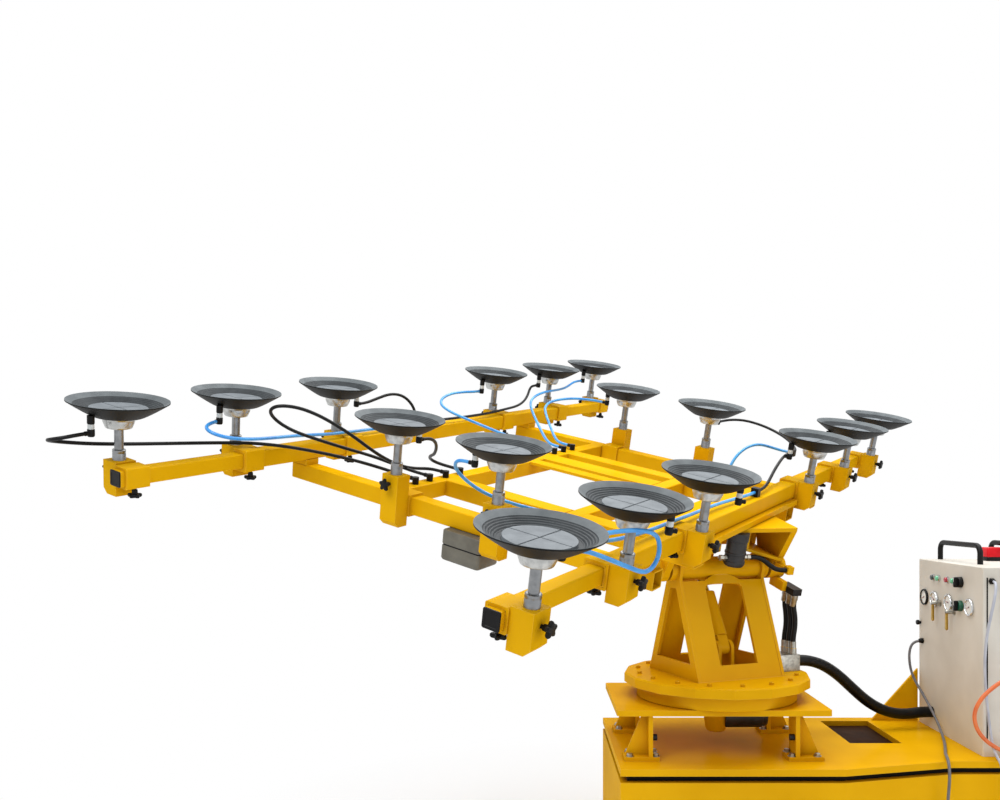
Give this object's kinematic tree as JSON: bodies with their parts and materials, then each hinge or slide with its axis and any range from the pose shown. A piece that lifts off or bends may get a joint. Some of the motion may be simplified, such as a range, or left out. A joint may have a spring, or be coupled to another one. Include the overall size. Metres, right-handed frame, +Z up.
{
  "type": "glass manipulator",
  "caption": "Glass manipulator: telescopic frame of suction cups on a slewing, tilting and turning head, carried by a ballasted base with a control cabinet.",
  "frame": {"origin": "on the slewing axis, at the underside of the base", "axes": "+Z up along the slewing axis, +X towards the control cabinet, +Y across the base away from the narrow front"},
  "size_m": [3.4085, 3.4625, 2.2673],
  "materials": {
    "bare_steel": "machined",
    "black_hose": "satin",
    "black_plastic": "moulded",
    "blue_hose": "gloss",
    "brass": "satin",
    "cast_ballast": "rough",
    "cup_rubber": "matt",
    "grey_plastic": "moulded",
    "grey_sheet": "satin",
    "white_cable": "satin",
    "yellow_paint": "gloss"
  },
  "bodies": {
    "base": {"chassis": "yellow_paint", "ballast_block": "cast_ballast", "deck_plate": "yellow_paint", "platform": "yellow_paint", "stanchions": "yellow_paint", "stanchion_bolts": "black_plastic", "slewing_ring": "bare_steel", "slewing_gearmotor": "yellow_paint", "cabinet_shell": "grey_sheet", "cabinet_roof_fittings": "black_plastic", "panel_instruments": "black_plastic", "panel_leads": "white_cable", "slew_conduit": "black_hose"},
    "tower": {"turntable": "yellow_paint", "tower_frame": "yellow_paint", "hydraulic_hoses": "black_hose"},
    "tilt_barrel": {"tilt_cylinder_barrel": "yellow_paint"},
    "tilt_rod": {"tilt_cylinder_rod": "bare_steel"},
    "head": {"tilt_yoke": "yellow_paint", "hinge_pin": "bare_steel", "rotator_ring": "bare_steel", "rotator_motor": "bare_steel"},
    "suction_frame": {"turn_plate": "yellow_paint", "ladder": "yellow_paint", "cross_beams": "yellow_paint", "bridge_bars": "yellow_paint", "cup_brackets": "yellow_paint", "bracket_knobs": "black_plastic", "hose_fittings": "black_plastic", "vacuum_box": "grey_plastic", "hoses_black": "black_hose", "hoses_blue": "blue_hose"},
    "arm_near_left": {"arm_near_left": "yellow_paint", "arm_near_left_trim": "black_plastic"},
    "arm_near_right": {"arm_near_right": "yellow_paint", "arm_near_right_trim": "black_plastic"},
    "arm_far_left": {"arm_far_left": "yellow_paint", "arm_far_left_trim": "black_plastic"},
    "arm_far_right": {"arm_far_right": "yellow_paint", "arm_far_right_trim": "black_plastic"},
    "cup_01": {"cup_01": "cup_rubber"},
    "cup_02": {"cup_02": "cup_rubber"},
    "cup_03": {"cup_03": "cup_rubber"},
    "cup_04": {"cup_04": "cup_rubber"},
    "cup_05": {"cup_05": "cup_rubber"},
    "cup_06": {"cup_06": "cup_rubber"},
    "cup_07": {"cup_07": "cup_rubber"},
    "cup_08": {"cup_08": "cup_rubber"},
    "cup_09": {"cup_09": "cup_rubber"},
    "cup_10": {"cup_10": "cup_rubber"},
    "cup_11": {"cup_11": "cup_rubber"},
    "cup_12": {"cup_12": "cup_rubber"},
    "cup_13": {"cup_13": "cup_rubber"},
    "cup_14": {"cup_14": "cup_rubber"},
    "cup_15": {"cup_15": "cup_rubber"},
    "cup_16": {"cup_16": "cup_rubber"},
    "selector_knob": {"selector_knob": "black_plastic"},
    "regulator_knob": {"regulator_knob": "black_plastic"},
    "valve_lever_left": {"valve_lever_left": "brass"},
    "valve_lever_right": {"valve_lever_right": "brass"}
  },
  "joints": [
    {"name": "slew", "type": "hinge", "parent": "base", "child": "tower", "pos_m": [0, 0, 0.82], "axis": [0, 0, 1], "range_deg": [-112.15, 22.85], "deforming": ["slew_conduit"]},
    {"name": "tilt", "type": "hinge", "parent": "tower", "child": "head", "pos_m": [0, 0, 1.202], "axis": [0.9262, 0.377, 0], "range_deg": [-16.65, 43.35], "deforming": ["hydraulic_hoses"]},
    {"name": "rotator", "type": "hinge", "parent": "head", "child": "suction_frame", "pos_m": [0.02593, -0.06369, 1.43194], "axis": [0.108, -0.2654, 0.9581], "range_deg": [-34.4, 55.6]},
    {"name": "barrel_swing", "type": "hinge", "parent": "tower", "child": "tilt_barrel", "pos_m": [0.01508, -0.03705, 0.912], "axis": [0.9262, 0.377, 0], "range_deg": [-2.6, 6.6]},
    {"name": "rod_slide", "type": "slide", "parent": "tilt_barrel", "child": "tilt_rod", "axis": [-0.1831, 0.4499, 0.8741], "range_m": [-0.0282, 0.0722]},
    {"name": "arm_near_left_slide", "type": "slide", "parent": "suction_frame", "child": "arm_near_left", "axis": [-0.5599, -0.8126, -0.162], "range_m": [-0.13, 0.25], "deforming": ["hoses_black", "hoses_blue"]},
    {"name": "arm_near_right_slide", "type": "slide", "parent": "suction_frame", "child": "arm_near_right", "axis": [0.5599, 0.8126, 0.162], "range_m": [-0.13, 0.25]},
    {"name": "arm_far_left_slide", "type": "slide", "parent": "suction_frame", "child": "arm_far_left", "axis": [-0.5599, -0.8126, -0.162], "range_m": [-0.13, 0.25]},
    {"name": "arm_far_right_slide", "type": "slide", "parent": "suction_frame", "child": "arm_far_right", "axis": [0.5599, 0.8126, 0.162], "range_m": [-0.13, 0.25]},
    {"name": "cup_01_post", "type": "slide", "parent": "arm_far_left", "child": "cup_01", "axis": [0.108, -0.2654, 0.9581], "range_m": [-0.03, 0.03]},
    {"name": "cup_02_post", "type": "slide", "parent": "suction_frame", "child": "cup_02", "axis": [0.108, -0.2654, 0.9581], "range_m": [-0.03, 0.03]},
    {"name": "cup_03_post", "type": "slide", "parent": "suction_frame", "child": "cup_03", "axis": [0.108, -0.2654, 0.9581], "range_m": [-0.03, 0.03]},
    {"name": "cup_04_post", "type": "slide", "parent": "suction_frame", "child": "cup_04", "axis": [0.108, -0.2654, 0.9581], "range_m": [-0.03, 0.03]},
    {"name": "cup_05_post", "type": "slide", "parent": "suction_frame", "child": "cup_05", "axis": [0.108, -0.2654, 0.9581], "range_m": [-0.03, 0.03]},
    {"name": "cup_06_post", "type": "slide", "parent": "suction_frame", "child": "cup_06", "axis": [0.108, -0.2654, 0.9581], "range_m": [-0.03, 0.03]},
    {"name": "cup_07_post", "type": "slide", "parent": "suction_frame", "child": "cup_07", "axis": [0.108, -0.2654, 0.9581], "range_m": [-0.03, 0.03]},
    {"name": "cup_08_post", "type": "slide", "parent": "arm_far_right", "child": "cup_08", "axis": [0.108, -0.2654, 0.9581], "range_m": [-0.03, 0.03]},
    {"name": "cup_09_post", "type": "slide", "parent": "suction_frame", "child": "cup_09", "axis": [0.108, -0.2654, 0.9581], "range_m": [-0.03, 0.03]},
    {"name": "cup_10_post", "type": "slide", "parent": "suction_frame", "child": "cup_10", "axis": [0.108, -0.2654, 0.9581], "range_m": [-0.03, 0.03]},
    {"name": "cup_11_post", "type": "slide", "parent": "suction_frame", "child": "cup_11", "axis": [0.108, -0.2654, 0.9581], "range_m": [-0.03, 0.03]},
    {"name": "cup_12_post", "type": "slide", "parent": "suction_frame", "child": "cup_12", "axis": [0.108, -0.2654, 0.9581], "range_m": [-0.03, 0.03]},
    {"name": "cup_13_post", "type": "slide", "parent": "arm_near_right", "child": "cup_13", "axis": [0.108, -0.2654, 0.9581], "range_m": [-0.03, 0.03]},
    {"name": "cup_14_post", "type": "slide", "parent": "suction_frame", "child": "cup_14", "axis": [0.108, -0.2654, 0.9581], "range_m": [-0.03, 0.03]},
    {"name": "cup_15_post", "type": "slide", "parent": "suction_frame", "child": "cup_15", "axis": [0.108, -0.2654, 0.9581], "range_m": [-0.03, 0.03]},
    {"name": "cup_16_post", "type": "slide", "parent": "arm_near_left", "child": "cup_16", "axis": [0.108, -0.2654, 0.9581], "range_m": [-0.03, 0.03]},
    {"name": "selector_knob_turn", "type": "hinge", "parent": "base", "child": "selector_knob", "pos_m": [0.888, -0.03, 1.151], "axis": [-1, 0, 0], "range_deg": [-45, 45]},
    {"name": "regulator_knob_turn", "type": "hinge", "parent": "base", "child": "regulator_knob", "pos_m": [0.888, -0.03, 1.065], "axis": [-1, 0, 0], "range_deg": [-45, 45]},
    {"name": "valve_lever_left_turn", "type": "hinge", "parent": "base", "child": "valve_lever_left", "pos_m": [0.888, 0.144, 1.057], "axis": [-1, 0, 0], "range_deg": [0, 90]},
    {"name": "valve_lever_right_turn", "type": "hinge", "parent": "base", "child": "valve_lever_right", "pos_m": [0.888, 0.026, 1.037], "axis": [-1, 0, 0], "range_deg": [0, 90]}
  ],
  "couplings": [
    {"joint": "barrel_swing", "follows": "tilt", "ratio": 0.1479},
    {"joint": "rod_slide", "follows": "tilt", "m_per_rad": 0.09413}
  ]
}
